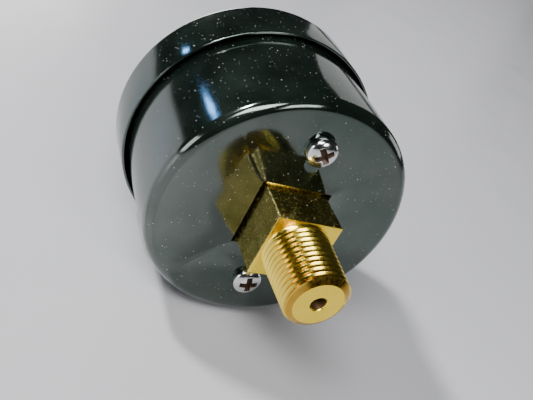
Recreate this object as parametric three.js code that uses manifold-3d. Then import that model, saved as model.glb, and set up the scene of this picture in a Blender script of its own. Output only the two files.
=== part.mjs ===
// Bourdon-tube pressure gauge with a centre back connection, as a bench assembly.
// Millimetres. The origin is on the gauge's axis at the shoulder of the threaded stem.
// +Y runs out along the stem, the dial faces -Y and 12 o'clock is +Z.
// "Rear" is the stem's end of a piece and "front" is the dial's end.
import * as THREE from 'three';
import { mergeVertices } from 'three/addons/utils/BufferGeometryUtils.js';
import Module from 'manifold-3d';

const wasm = await Module();
wasm.setup();

// ---- Driving dimensions ----

const SEAT_GAP = 0.05; // between two faces that seat on each other
const SCREW_PLAY = 0.15; // round a screw in its hole
const BEARING_PLAY = 0.08; // round a pivot in its hole
const OVERRUN = 1; // how far a cutting tool passes the face it cuts
const BIG_ROUND = 64; // sides of the case, bezel, dial and window
const MID_ROUND = 32; // sides of the stem and screw heads
const SMALL_ROUND = 16; // sides of arbors, pins and holes

const CASE_RADIUS = 21.2;
const CASE_WALL = 0.7;
const CASE_CORNER = 1.8;
const BEZEL_RADIUS = 22.2;
const BEZEL_LIP_RADIUS = 19.3;
const BEZEL_LIP = 0.7;
const BEZEL_CORNER = 0.8;
const BEZEL_LENGTH = 9.5;
const BODY_DEPTH = 28;

const SHANK_WIDTH = 11;
const SHANK_LENGTH = 7.3;
const SHANK_HOLE_WIDTH = 12.1;
const STEM_LENGTH = 10.7;
const STEM_BASE_RADIUS = 5.25;
const STEM_TIP_RADIUS = 4.95;
const STEM_CHAMFER = 0.6;
const STEM_END_RADIUS = 3.8;
const BORE_RADIUS = 1.18;
const PASSAGE_RADIUS = 0.6;
const PASSAGE_X = 1;

const BAR_WIDTH = 10.4;
const BAR_LENGTH = 33;
const BAR_THICKNESS = 5;

const TUBE_RADIUS = 15.5; // middle of the C
const TUBE_WIDTH = 5;
const TUBE_THICKNESS = 1.7;
const TUBE_WALL = 0.25;
const TUBE_SIDES = 10;
const TUBE_STEPS = 48;
const TUBE_SEAT_X = [-3.5, 2.6];
const TUBE_SEAT_Z = [-18, -13.4];
const TUBE_SEAT_COVER = 0.9; // in front of the tube's edge
const TUBE_END_X = 0.3; // where the tube stops in its seat
const TUBE_POCKET_PLAY = 0.1;
const TIP_CAP = { inward: 1.45, outward: 1.35, cover: 0.5, z: [-0.45, 0.9] };

const PLATE_THICKNESS = 1;
const PLATE_SPACING = 8.2;
const MOVEMENT_PLATE = { left: -8.5, right: 9, bottom: -13, top: 9.5, corner: 2 };
const PILLAR_RADIUS = 1.2;
const PIVOT_RADIUS = 0.4;
const ARBOR_RADIUS = 0.9;
const ARBOR_END_PLAY = 0.2;
const PINION_SHAFT_RADIUS = 0.55;
const PINION_OVERLAP = 0.4; // of the pinion past each face of the sector
const SECTOR_HUB_RADIUS = 1.7;
const PINION_TEETH = 10;
const SECTOR_TEETH = 80; // on its full circle
const GEAR_MODULE = 0.2;
const SECTOR_BEARING = THREE.MathUtils.degToRad(-45); // of the sector's arbor, seen from the axis
const TIP_PIN = [13.25, -1.5];
const TAIL_PIN = [10.245, -7.332];
const LINK_EYE_PLAY = 0.25; // at the tube's end, where the linkage is opened
const PIN_RADIUS = 0.5;
const LUG_RADIUS = 1.1; // round ends of the link, the tail and the tip's lug
const GEAR_THICKNESS = 0.8;
const LINK_THICKNESS = 0.6;
const HAIRSPRING = { turns: 3.5, inner: 1.55, outer: 5, thickness: 0.12, width: 0.6 };
const COLLET = { radius: 1.45, rear: 0.2, front: 0.8 };
const STUD = { radius: 0.4, place: [-5.7, 0] };

const CASE_SCREW_SPACING = 26.6;
const CASE_SCREW_HEAD_RADIUS = 2.45;
const CASE_SCREW_HEAD_HEIGHT = 1.7;
const CASE_SCREW_RADIUS = 1.5;
const CASE_SCREW_CROWN = 0.9;
const CASE_SCREW_REACH = 3.6; // into the socket's bar
const CROSS_RECESS = { width: 0.8, reach: 1.3, depth: 1.1 };
const SMALL_SCREW_RADIUS = 0.6;
const SMALL_HEAD_RADIUS = 1.25;
const SMALL_HEAD_HEIGHT = 0.7;
const SMALL_SLOT = { width: 0.34, depth: 0.3 };
const PLATE_SCREW_LENGTH = 3;
const MOVEMENT_SCREW_LENGTH = 2.6;
const DIAL_SCREW_LENGTH = 2.4;

const DIAL_RADIUS = 19.8;
const DIAL_THICKNESS = 0.5;
const DIAL_GAP = 4.8; // from the front plate to the dial
const DIAL_HOLE_RADIUS = 1.5;
const DIAL_POST_RADIUS = 1.1;
const STOP = { radius: 0.4, collar: 0.3, reach: 9, offset: 1.02 };
const POINTER_REST = THREE.MathUtils.degToRad(225); // where zero is on the dial
const POINTER_REACH = 15.5;
const POINTER_TAIL = 5.2;
const POINTER_DISC_RADIUS = 2;
const BUSH = { sleeve: 1, flange: 1.6, thickness: 0.45, rear: 0.6 };
const POINTER_THICKNESS = 0.35;
const POINTER_GAP = 1.8; // from the dial to the pointer
const WINDOW_THICKNESS = 1.2;
const GASKET_THICKNESS = 0.65;
const GASKET_SETBACK = 0.4; // of its bore behind the bezel's lip
const WINDOW_RADIUS = 21;

// Places of the small fixings, as [x, z]
const PILLARS = { upper: [-5.5, 5.5], lower: [3.5, -10.5] };
const MOVEMENT_SCREWS = { upper: [1.5, 7.5], lower: [-2.5, -9.5] };
const DIAL_POSTS = { left: [-7, 0], right: [7, 0] };

// ---- The stack along the axis, from the case back to the bezel's lip ----

const BACK_Y = -SHANK_LENGTH;
const BACK_INNER_Y = BACK_Y - CASE_WALL;
const BAR_REAR_Y = BACK_INNER_Y - SEAT_GAP;
const BAR_FRONT_Y = BAR_REAR_Y - BAR_THICKNESS;
const REAR_PLATE_Y = BAR_FRONT_Y - SEAT_GAP;
const BETWEEN_REAR_Y = REAR_PLATE_Y - PLATE_THICKNESS;
const BETWEEN_FRONT_Y = BETWEEN_REAR_Y - PLATE_SPACING;
const FRONT_PLATE_FRONT_Y = BETWEEN_FRONT_Y - PLATE_THICKNESS;
const GEAR_Y = BETWEEN_REAR_Y - 3.5; // rear faces of the sector and of the tip's lug
const LINK_Y = GEAR_Y - GEAR_THICKNESS - 0.2;
const TUBE_Y = GEAR_Y - GEAR_THICKNESS / 2; // middle of the tube's width
const SEAT_FRONT_Y = TUBE_Y - TUBE_WIDTH / 2 - TUBE_SEAT_COVER;
const SPRING_Y = BETWEEN_FRONT_Y + 1.8;
const DIAL_Y = FRONT_PLATE_FRONT_Y - DIAL_GAP;
const DIAL_FRONT_Y = DIAL_Y - DIAL_THICKNESS;
const POINTER_Y = DIAL_FRONT_Y - POINTER_GAP;
const FRONT_Y = BACK_Y - BODY_DEPTH;
const WINDOW_Y = FRONT_Y + BEZEL_LIP + SEAT_GAP + WINDOW_THICKNESS;
const GASKET_Y = WINDOW_Y + SEAT_GAP + GASKET_THICKNESS;
const RIM_Y = GASKET_Y + SEAT_GAP;

const PINION_RADIUS = (GEAR_MODULE * PINION_TEETH) / 2;
const SECTOR_RADIUS = (GEAR_MODULE * SECTOR_TEETH) / 2;
const SECTOR_PIVOT = polar(PINION_RADIUS + SECTOR_RADIUS, SECTOR_BEARING);
const STOP_PLACE = polar(STOP.reach, POINTER_REST + Math.asin(STOP.offset / STOP.reach));

// ---- Materials ----

const material = (color, metalness, roughness) =>
  new THREE.MeshStandardMaterial({ color, metalness, roughness });

const BLACK_PAINT = material(0x0b0d0c, 0.0, 0.15);
const BRASS = material(0xb08a3a, 1.0, 0.32);
const TUBE_BRONZE = material(0xa97a45, 1.0, 0.38);
const BRIGHT_STEEL = material(0xc9cbcd, 1.0, 0.18);
const SPRING_STEEL = material(0x8e9094, 1.0, 0.3);
const DIAL_WHITE = material(0xf1f1ec, 0.0, 0.55);
const POINTER_BLACK = material(0x101010, 0.0, 0.5);
const GASKET_RUBBER = material(0x1b1b1b, 0.0, 0.85);
const WINDOW_CLEAR = new THREE.MeshStandardMaterial({
  color: 0xf4f8f8,
  metalness: 0,
  roughness: 0.05,
  transparent: true,
  opacity: 0.3,
});

// ---- Solids from three.js geometry ----

function polar(radius, angle) {
  return [radius * Math.cos(angle), radius * Math.sin(angle)];
}

function signedVolume(geometry) {
  const position = geometry.attributes.position;
  const corners = [new THREE.Vector3(), new THREE.Vector3(), new THREE.Vector3()];
  let volume = 0;
  for (let i = 0; i < geometry.index.count; i += 3) {
    corners.forEach((corner, k) => corner.fromBufferAttribute(position, geometry.index.getX(i + k)));
    volume += corners[0].dot(corners[1].clone().cross(corners[2])) / 6;
  }
  return volume;
}

// A closed mesh with shared vertices, no collapsed triangles and its faces pointing out
function solid(geometry) {
  geometry.deleteAttribute('normal');
  geometry.deleteAttribute('uv');
  const welded = mergeVertices(geometry);
  const flip = signedVolume(welded) < 0;
  const triangles = [];
  for (let i = 0; i < welded.index.count; i += 3) {
    const [a, b, c] = [0, 1, 2].map((k) => welded.index.getX(i + k));
    const collapsed = a === b || b === c || c === a;
    if (!collapsed) {
      triangles.push(a, flip ? c : b, flip ? b : c);
    }
  }
  const mesh = new wasm.Mesh({
    numProp: 3,
    vertProperties: welded.attributes.position.array,
    triVerts: Uint32Array.from(triangles),
  });
  return new wasm.Manifold(mesh);
}

// A profile of [radius, y] points, turned about the gauge's axis
function turned(profile, sides = MID_ROUND) {
  const points = profile.map(([radius, y]) => new THREE.Vector2(radius, y));
  return solid(new THREE.LatheGeometry(points, sides));
}

function rod(radius, rearY, frontY, [x, z] = [0, 0], sides = SMALL_ROUND) {
  const geometry = new THREE.CylinderGeometry(radius, radius, rearY - frontY, sides);
  geometry.translate(x, (rearY + frontY) / 2, z);
  return solid(geometry);
}

// A hole along X or Z, from one [x, y, z] point to another
function drilling(radius, from, to) {
  const start = new THREE.Vector3(...from);
  const run = new THREE.Vector3(...to).sub(start);
  const geometry = new THREE.CylinderGeometry(radius, radius, run.length(), SMALL_ROUND);
  const turn = new THREE.Quaternion().setFromUnitVectors(
    new THREE.Vector3(0, 1, 0),
    run.clone().normalize(),
  );
  geometry.applyQuaternion(turn);
  geometry.translate(...start.addScaledVector(run, 0.5));
  return solid(geometry);
}

function block([x0, x1], [y0, y1], [z0, z1]) {
  const geometry = new THREE.BoxGeometry(x1 - x0, y1 - y0, z1 - z0);
  geometry.translate((x0 + x1) / 2, (y0 + y1) / 2, (z0 + z1) / 2);
  return solid(geometry);
}

// An outline in the dial's plane, as thick as stated, with its rear face at rearY
function plate(shape, rearY, thickness, curveSegments = SMALL_ROUND / 4) {
  const geometry = new THREE.ExtrudeGeometry(shape, {
    depth: thickness,
    bevelEnabled: false,
    curveSegments,
  });
  geometry.rotateX(Math.PI / 2);
  geometry.translate(0, rearY, 0);
  return solid(geometry);
}

function outline(points) {
  return new THREE.Shape(points.map(([x, z]) => new THREE.Vector2(x, z)));
}

// A strip with round ends between two places
function strip([ax, az], [bx, bz], radius) {
  const along = Math.atan2(bz - az, bx - ax);
  const shape = new THREE.Shape();
  shape.absarc(bx, bz, radius, along - Math.PI / 2, along + Math.PI / 2, false);
  shape.absarc(ax, az, radius, along + Math.PI / 2, along + (3 * Math.PI) / 2, false);
  return shape;
}

function roundedRectangle({ left, right, bottom, top, corner: radius }) {
  const shape = new THREE.Shape();
  shape.absarc(right - radius, top - radius, radius, 0, Math.PI / 2, false);
  shape.absarc(left + radius, top - radius, radius, Math.PI / 2, Math.PI, false);
  shape.absarc(left + radius, bottom + radius, radius, Math.PI, (3 * Math.PI) / 2, false);
  shape.absarc(right - radius, bottom + radius, radius, (3 * Math.PI) / 2, 2 * Math.PI, false);
  return shape;
}

// Points of a quarter round from angle a to angle b, about a [radius, y] centre
function quarter([r, y], radius, a, b, steps = 4) {
  return Array.from({ length: steps + 1 }, (_, i) => {
    const [across, up] = polar(radius, a + ((b - a) * i) / steps);
    return [r + across, y + up];
  });
}

const gauge = new THREE.Group();
gauge.name = 'pressure_gauge';

function add(name, shape, look) {
  const { vertProperties, triVerts } = shape.getMesh();
  const geometry = new THREE.BufferGeometry();
  geometry.setAttribute('position', new THREE.BufferAttribute(vertProperties, 3));
  geometry.setIndex(new THREE.BufferAttribute(triVerts, 1));
  geometry.computeVertexNormals();
  const mesh = new THREE.Mesh(geometry, look);
  mesh.name = name;
  gauge.add(mesh);
}

// ---- Case, bezel and window ----

function caseScrewPlaces() {
  return { upper: [0, CASE_SCREW_SPACING / 2], lower: [0, -CASE_SCREW_SPACING / 2] };
}

function caseShell() {
  const inner = CASE_RADIUS - CASE_WALL;
  const innerCorner = CASE_CORNER - CASE_WALL;
  const outerCentre = [CASE_RADIUS - CASE_CORNER, BACK_Y - CASE_CORNER];
  let shell = turned(
    [
      [0, BACK_Y],
      ...quarter(outerCentre, CASE_CORNER, Math.PI / 2, 0),
      [CASE_RADIUS, RIM_Y],
      [inner, RIM_Y],
      ...quarter(outerCentre, innerCorner, 0, Math.PI / 2, 3),
      [0, BACK_INNER_Y],
    ],
    BIG_ROUND,
  );
  const half = SHANK_HOLE_WIDTH / 2;
  shell = shell.subtract(
    block([-half, half], [BACK_INNER_Y - OVERRUN, BACK_Y + OVERRUN], [-half, half]),
  );
  for (const place of Object.values(caseScrewPlaces())) {
    const radius = CASE_SCREW_RADIUS + SCREW_PLAY;
    shell = shell.subtract(rod(radius, BACK_Y + OVERRUN, BACK_INNER_Y - OVERRUN, place));
  }
  return shell;
}

function bezelRing() {
  const bore = CASE_RADIUS + SEAT_GAP;
  const corner = [BEZEL_RADIUS - BEZEL_CORNER, FRONT_Y + BEZEL_CORNER];
  const rear = [BEZEL_RADIUS, FRONT_Y + BEZEL_LENGTH];
  return turned(
    [
      rear,
      ...quarter(corner, BEZEL_CORNER, 0, -Math.PI / 2),
      [BEZEL_LIP_RADIUS, FRONT_Y],
      [BEZEL_LIP_RADIUS, FRONT_Y + BEZEL_LIP],
      [bore, FRONT_Y + BEZEL_LIP],
      [bore, FRONT_Y + BEZEL_LENGTH],
      rear,
    ],
    BIG_ROUND,
  );
}

function windowPane() {
  return rod(WINDOW_RADIUS, WINDOW_Y, WINDOW_Y - WINDOW_THICKNESS, [0, 0], BIG_ROUND);
}

function windowGasket() {
  const opening = rod(
    BEZEL_LIP_RADIUS + GASKET_SETBACK,
    GASKET_Y + OVERRUN,
    GASKET_Y - GASKET_THICKNESS - OVERRUN,
    [0, 0],
    BIG_ROUND,
  );
  const disc = rod(WINDOW_RADIUS, GASKET_Y, GASKET_Y - GASKET_THICKNESS, [0, 0], BIG_ROUND);
  return disc.subtract(opening);
}

// A pan-head screw on the case back, with a cross recess
function caseScrew([x, z]) {
  const seat = BACK_Y + SEAT_GAP;
  const top = seat + CASE_SCREW_HEAD_HEIGHT;
  const crown = CASE_SCREW_CROWN;
  const tip = BAR_REAR_Y - CASE_SCREW_REACH;
  let screw = turned([
    [0, tip],
    [CASE_SCREW_RADIUS, tip],
    [CASE_SCREW_RADIUS, seat],
    [CASE_SCREW_HEAD_RADIUS, seat],
    [CASE_SCREW_HEAD_RADIUS, top - crown],
    ...quarter([CASE_SCREW_HEAD_RADIUS - crown, top - crown], crown, 0, Math.PI / 2),
    [0, top],
  ]);
  const deep = [top - CROSS_RECESS.depth, top + OVERRUN];
  const wide = [-CROSS_RECESS.reach, CROSS_RECESS.reach];
  const narrow = [-CROSS_RECESS.width / 2, CROSS_RECESS.width / 2];
  screw = screw.subtract(block(wide, deep, narrow));
  screw = screw.subtract(block(narrow, deep, wide));
  return screw.translate(x, 0, z);
}

// ---- Socket: threaded stem, square shank, crossbar and tube seat in one piece ----

function socketBody() {
  const half = SHANK_WIDTH / 2;
  const bar = block(
    [-BAR_WIDTH / 2, BAR_WIDTH / 2],
    [BAR_FRONT_Y, BAR_REAR_Y],
    [-BAR_LENGTH / 2, BAR_LENGTH / 2],
  );
  const shank = block([-half, half], [BAR_REAR_Y - OVERRUN, 0], [-half, half]);
  const seat = block(TUBE_SEAT_X, [SEAT_FRONT_Y, BAR_FRONT_Y + OVERRUN], TUBE_SEAT_Z);
  const stem = turned([
    [0, -OVERRUN],
    [STEM_BASE_RADIUS, -OVERRUN],
    [STEM_BASE_RADIUS, 0],
    [STEM_TIP_RADIUS, STEM_LENGTH - STEM_CHAMFER],
    [STEM_END_RADIUS, STEM_LENGTH],
    [0, STEM_LENGTH],
  ]);
  return bar.add(shank).add(seat).add(stem);
}

function stemSocket() {
  const crossY = BAR_FRONT_Y + BAR_THICKNESS / 2;
  const tubeHalf = TUBE_WIDTH / 2 + TUBE_POCKET_PLAY;
  const pocketThickness = TUBE_THICKNESS + 0.7; // the tube curves a little inside its pocket
  let socket = socketBody();
  const cuts = [
    rod(BORE_RADIUS, STEM_LENGTH + OVERRUN, crossY - PASSAGE_RADIUS),
    drilling(PASSAGE_RADIUS, [PASSAGE_X, crossY, 0], [PASSAGE_X, crossY, -TUBE_RADIUS]),
    rod(PASSAGE_RADIUS, crossY, TUBE_Y, [PASSAGE_X, -TUBE_RADIUS]),
    drilling(
      PASSAGE_RADIUS,
      [PASSAGE_X, TUBE_Y, -TUBE_RADIUS],
      [TUBE_END_X - 0.2, TUBE_Y, -TUBE_RADIUS],
    ),
    block(
      [TUBE_SEAT_X[0] - OVERRUN, TUBE_END_X],
      [TUBE_Y - tubeHalf, TUBE_Y + tubeHalf],
      [-TUBE_RADIUS - pocketThickness / 2, -TUBE_RADIUS + pocketThickness / 2 + 0.3],
    ),
  ];
  for (const place of Object.values(caseScrewPlaces())) {
    cuts.push(rod(CASE_SCREW_RADIUS + SCREW_PLAY, BAR_REAR_Y + OVERRUN, BAR_REAR_Y - 4, place));
  }
  for (const place of Object.values(MOVEMENT_SCREWS)) {
    cuts.push(rod(SMALL_SCREW_RADIUS + SCREW_PLAY, BAR_FRONT_Y + 2, BAR_FRONT_Y - OVERRUN, place));
  }
  for (const cut of cuts) {
    socket = socket.subtract(cut);
  }
  return socket;
}

// ---- Bourdon tube and its tip ----

// An oval about the tube's middle line, turned into a ring and cut to three quarters
function tubeRing(grow) {
  const profile = Array.from({ length: TUBE_SIDES + 1 }, (_, i) => {
    const angle = (2 * Math.PI * (i % TUBE_SIDES)) / TUBE_SIDES;
    const across = (TUBE_THICKNESS / 2 + grow) * Math.cos(angle);
    const along = (TUBE_WIDTH / 2 + grow) * Math.sin(angle);
    return [TUBE_RADIUS + across, TUBE_Y + along];
  });
  return turned(profile, TUBE_STEPS);
}

function bourdonTube() {
  const reach = TUBE_RADIUS + TUBE_THICKNESS;
  const missing = block([0, reach], [TUBE_Y - TUBE_WIDTH, TUBE_Y + TUBE_WIDTH], [-reach, 0]);
  return tubeRing(0).subtract(tubeRing(-TUBE_WALL)).subtract(missing);
}

// The plug that closes the tube's free end, with the lug that the link pulls
function tubeTip() {
  const cap = block(
    [TUBE_RADIUS - TIP_CAP.inward, TUBE_RADIUS + TIP_CAP.outward],
    [TUBE_Y - TUBE_WIDTH / 2 - TIP_CAP.cover, TUBE_Y + TUBE_WIDTH / 2 + TIP_CAP.cover],
    TIP_CAP.z,
  );
  const pocket = tubeRing(0.1).intersect(
    block([TUBE_RADIUS - 3, TUBE_RADIUS + 3], [TUBE_Y - TUBE_WIDTH, TUBE_Y + TUBE_WIDTH], [-0.1, 2]),
  );
  const lug = plate(strip(TIP_PIN, [TUBE_RADIUS - 0.2, -0.2], LUG_RADIUS), GEAR_Y, GEAR_THICKNESS);
  const hole = rod(PIN_RADIUS + SEAT_GAP, GEAR_Y + OVERRUN, GEAR_Y - OVERRUN, TIP_PIN);
  return cap.add(lug).subtract(pocket).subtract(hole);
}

function linkPin(place) {
  return rod(PIN_RADIUS, GEAR_Y + 0.3, LINK_Y - LINK_THICKNESS - 0.35, place);
}

function link() {
  const bar = plate(strip(TAIL_PIN, TIP_PIN, LUG_RADIUS), LINK_Y, LINK_THICKNESS);
  const tailHole = rod(PIN_RADIUS + BEARING_PLAY, LINK_Y + OVERRUN, LINK_Y - OVERRUN, TAIL_PIN);
  const tipHole = rod(PIN_RADIUS + LINK_EYE_PLAY, LINK_Y + OVERRUN, LINK_Y - OVERRUN, TIP_PIN);
  return bar.subtract(tailHole).subtract(tipHole);
}

// ---- Movement ----

function movementPlate(rearY) {
  return plate(roundedRectangle(MOVEMENT_PLATE), rearY, PLATE_THICKNESS);
}

function holeThrough(piece, radius, rearY, place) {
  return piece.subtract(rod(radius, rearY + OVERRUN, rearY - PLATE_THICKNESS - OVERRUN, place));
}

function rearPlate() {
  let piece = movementPlate(REAR_PLATE_Y);
  piece = holeThrough(piece, PIVOT_RADIUS + BEARING_PLAY, REAR_PLATE_Y, [0, 0]);
  piece = holeThrough(piece, PIVOT_RADIUS + BEARING_PLAY, REAR_PLATE_Y, SECTOR_PIVOT);
  for (const place of Object.values(MOVEMENT_SCREWS)) {
    piece = holeThrough(piece, SMALL_SCREW_RADIUS + SCREW_PLAY, REAR_PLATE_Y, place);
  }
  return piece;
}

function frontPlate() {
  let piece = movementPlate(BETWEEN_FRONT_Y);
  piece = holeThrough(piece, PINION_SHAFT_RADIUS + BEARING_PLAY, BETWEEN_FRONT_Y, [0, 0]);
  piece = holeThrough(piece, PIVOT_RADIUS + BEARING_PLAY, BETWEEN_FRONT_Y, SECTOR_PIVOT);
  for (const place of Object.values(PILLARS)) {
    piece = holeThrough(piece, SMALL_SCREW_RADIUS + SCREW_PLAY, BETWEEN_FRONT_Y, place);
  }
  return piece;
}

// A round spacer between two planes, with a screw hole in its front end
function spacer(radius, rearY, frontY, place) {
  const hole = rod(SMALL_SCREW_RADIUS + SCREW_PLAY, frontY + 2.6, frontY - OVERRUN, place);
  return rod(radius, rearY - SEAT_GAP, frontY + SEAT_GAP, place).subtract(hole);
}

// A slotted cheese-head screw that points to the rear, with its head's seat at seatY
function smallScrew(seatY, length, [x, z]) {
  const seat = seatY - SEAT_GAP;
  const top = seat - SMALL_HEAD_HEIGHT;
  const slot = block(
    [-SMALL_HEAD_RADIUS - OVERRUN, SMALL_HEAD_RADIUS + OVERRUN],
    [top - OVERRUN, top + SMALL_SLOT.depth],
    [-SMALL_SLOT.width / 2, SMALL_SLOT.width / 2],
  );
  const head = rod(SMALL_HEAD_RADIUS, seat, top);
  const shank = rod(SMALL_SCREW_RADIUS, seat + length, seat - 0.2);
  return head.add(shank).subtract(slot).translate(x, 0, z);
}

// Points of straight-sided teeth about a centre, from tooth first to tooth last
function toothPoints([cx, cz], teeth, radius, zero, first, last, rootHalf, tipHalf) {
  const pitch = (2 * Math.PI) / teeth;
  const root = radius - 1.25 * GEAR_MODULE;
  const tip = radius + 0.8 * GEAR_MODULE;
  const corners = [[root, -rootHalf], [tip, -tipHalf], [tip, tipHalf], [root, rootHalf]];
  const points = [];
  for (let tooth = first; tooth <= last; tooth += 1) {
    for (const [r, offset] of corners) {
      const [x, z] = polar(r, zero + (tooth + offset) * pitch);
      points.push([cx + x, cz + z]);
    }
  }
  return points;
}

function sectorGear() {
  const facing = SECTOR_BEARING + Math.PI; // from the sector's arbor towards the pinion
  const teeth = toothPoints(SECTOR_PIVOT, SECTOR_TEETH, SECTOR_RADIUS, facing, -9, 1, 0.3, 0.12);
  const web = plate(outline([SECTOR_PIVOT, ...teeth]), GEAR_Y, GEAR_THICKNESS);
  const hub = rod(SECTOR_HUB_RADIUS, GEAR_Y, GEAR_Y - GEAR_THICKNESS, SECTOR_PIVOT);
  const tail = plate(strip(SECTOR_PIVOT, TAIL_PIN, LUG_RADIUS), GEAR_Y, GEAR_THICKNESS);
  const bore = rod(ARBOR_RADIUS + SEAT_GAP, GEAR_Y + OVERRUN, GEAR_Y - OVERRUN, SECTOR_PIVOT);
  const pinHole = rod(PIN_RADIUS + SEAT_GAP, GEAR_Y + OVERRUN, GEAR_Y - OVERRUN, TAIL_PIN);
  return web.add(hub).add(tail).subtract(bore).subtract(pinHole);
}

// A shaft between the plates with a thinner pivot in each
function sectorArbor() {
  const [x, z] = SECTOR_PIVOT;
  const rear = BETWEEN_REAR_Y - ARBOR_END_PLAY;
  const front = BETWEEN_FRONT_Y + ARBOR_END_PLAY;
  return turned(
    [
      [0, REAR_PLATE_Y - 0.1],
      [PIVOT_RADIUS, REAR_PLATE_Y - 0.1],
      [PIVOT_RADIUS, rear],
      [ARBOR_RADIUS, rear],
      [ARBOR_RADIUS, front],
      [PIVOT_RADIUS, front],
      [PIVOT_RADIUS, FRONT_PLATE_FRONT_Y],
      [0, FRONT_PLATE_FRONT_Y],
    ],
    SMALL_ROUND,
  ).translate(x, 0, z);
}

function pinionArbor() {
  const shoulder = BETWEEN_REAR_Y - ARBOR_END_PLAY;
  const shaft = turned(
    [
      [0, REAR_PLATE_Y - 0.1],
      [PIVOT_RADIUS, REAR_PLATE_Y - 0.1],
      [PIVOT_RADIUS, shoulder],
      [PINION_SHAFT_RADIUS, shoulder],
      [PINION_SHAFT_RADIUS, POINTER_Y - POINTER_THICKNESS - 0.7],
      [0, POINTER_Y - POINTER_THICKNESS - 0.7],
    ],
    SMALL_ROUND,
  );
  // A gap between two teeth faces the sector's middle tooth
  const zero = SECTOR_BEARING + Math.PI / PINION_TEETH;
  const teeth = toothPoints([0, 0], PINION_TEETH, PINION_RADIUS, zero, 0, PINION_TEETH - 1, 0.25, 0.08);
  const width = GEAR_THICKNESS + 2 * PINION_OVERLAP;
  return shaft.add(plate(outline(teeth), GEAR_Y + PINION_OVERLAP, width));
}

// A flat spiral strip from the collet out to the stud
function hairspring() {
  const { turns, inner, outer, thickness, width } = HAIRSPRING;
  const stepsPerTurn = 20;
  const steps = turns * stepsPerTurn;
  const edge = (offset) =>
    Array.from({ length: steps + 1 }, (_, i) => {
      const radius = inner + ((outer - inner) * i) / steps + offset;
      return polar(radius, (2 * Math.PI * i) / stepsPerTurn);
    });
  return plate(outline([...edge(thickness), ...edge(0).reverse()]), SPRING_Y, width);
}

function hairspringCollet() {
  const hole = rod(PINION_SHAFT_RADIUS + SEAT_GAP, SPRING_Y + OVERRUN, SPRING_Y - 2 * OVERRUN);
  return rod(COLLET.radius, SPRING_Y + COLLET.rear, SPRING_Y - COLLET.front).subtract(hole);
}

function hairspringStud() {
  return rod(STUD.radius, SPRING_Y + COLLET.rear, BETWEEN_FRONT_Y + SEAT_GAP, STUD.place);
}

// ---- Dial, pointer and stop ----

function dialPlate() {
  let piece = rod(DIAL_RADIUS, DIAL_Y, DIAL_FRONT_Y, [0, 0], BIG_ROUND);
  const cut = (radius, place) => rod(radius, DIAL_Y + OVERRUN, DIAL_FRONT_Y - OVERRUN, place);
  piece = piece.subtract(cut(DIAL_HOLE_RADIUS, [0, 0]));
  for (const place of Object.values(DIAL_POSTS)) {
    piece = piece.subtract(cut(SMALL_SCREW_RADIUS + SCREW_PLAY, place));
  }
  return piece.subtract(cut(STOP.radius + SEAT_GAP, STOP_PLACE));
}

function stopPin() {
  const pin = rod(STOP.radius, DIAL_Y - SEAT_GAP, POINTER_Y - POINTER_THICKNESS - 0.3, STOP_PLACE);
  const collar = rod(STOP.radius + STOP.collar, DIAL_FRONT_Y - SEAT_GAP, DIAL_FRONT_Y - 0.4, STOP_PLACE);
  return pin.add(collar);
}

function pointer() {
  const blade = outline([
    [-POINTER_TAIL, -0.95],
    [-1.2, -0.6],
    [POINTER_REACH - 2, -0.28],
    [POINTER_REACH, 0],
    [POINTER_REACH - 2, 0.28],
    [-1.2, 0.6],
    [-POINTER_TAIL, 0.95],
  ]);
  const disc = rod(POINTER_DISC_RADIUS, POINTER_Y, POINTER_Y - POINTER_THICKNESS);
  const hole = rod(BUSH.sleeve + SEAT_GAP, POINTER_Y + OVERRUN, POINTER_Y - OVERRUN);
  return plate(blade, POINTER_Y, POINTER_THICKNESS)
    .add(disc)
    .subtract(hole)
    .rotate([0, -THREE.MathUtils.radToDeg(POINTER_REST), 0]);
}

function pointerHub() {
  const front = POINTER_Y - POINTER_THICKNESS - SEAT_GAP;
  const sleeve = rod(BUSH.sleeve, POINTER_Y + BUSH.rear, front);
  const flange = rod(BUSH.flange, front, front - BUSH.thickness);
  const hole = rod(PINION_SHAFT_RADIUS + SEAT_GAP, POINTER_Y + 2 * OVERRUN, front - 2 * OVERRUN);
  return sleeve.add(flange).subtract(hole);
}

// ---- Assembly ----

add('case_shell', caseShell(), BLACK_PAINT);
add('bezel_ring', bezelRing(), BLACK_PAINT);
add('window', windowPane(), WINDOW_CLEAR);
add('window_gasket', windowGasket(), GASKET_RUBBER);
add('stem_socket', stemSocket(), BRASS);
add('bourdon_tube', bourdonTube(), TUBE_BRONZE);
add('tube_tip', tubeTip(), BRASS);
add('tip_pin', linkPin(TIP_PIN), BRIGHT_STEEL);
add('tail_pin', linkPin(TAIL_PIN), BRIGHT_STEEL);
add('link', link(), BRASS);
add('movement_rear_plate', rearPlate(), BRASS);
add('movement_front_plate', frontPlate(), BRASS);
add('sector_gear', sectorGear(), BRASS);
add('sector_arbor', sectorArbor(), BRIGHT_STEEL);
add('pinion_arbor', pinionArbor(), BRIGHT_STEEL);
add('hairspring', hairspring(), SPRING_STEEL);
add('hairspring_collet', hairspringCollet(), BRASS);
add('hairspring_stud', hairspringStud(), BRASS);
add('dial', dialPlate(), DIAL_WHITE);
add('stop_pin', stopPin(), BRASS);
add('pointer', pointer(), POINTER_BLACK);
add('pointer_hub', pointerHub(), BRASS);

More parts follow.
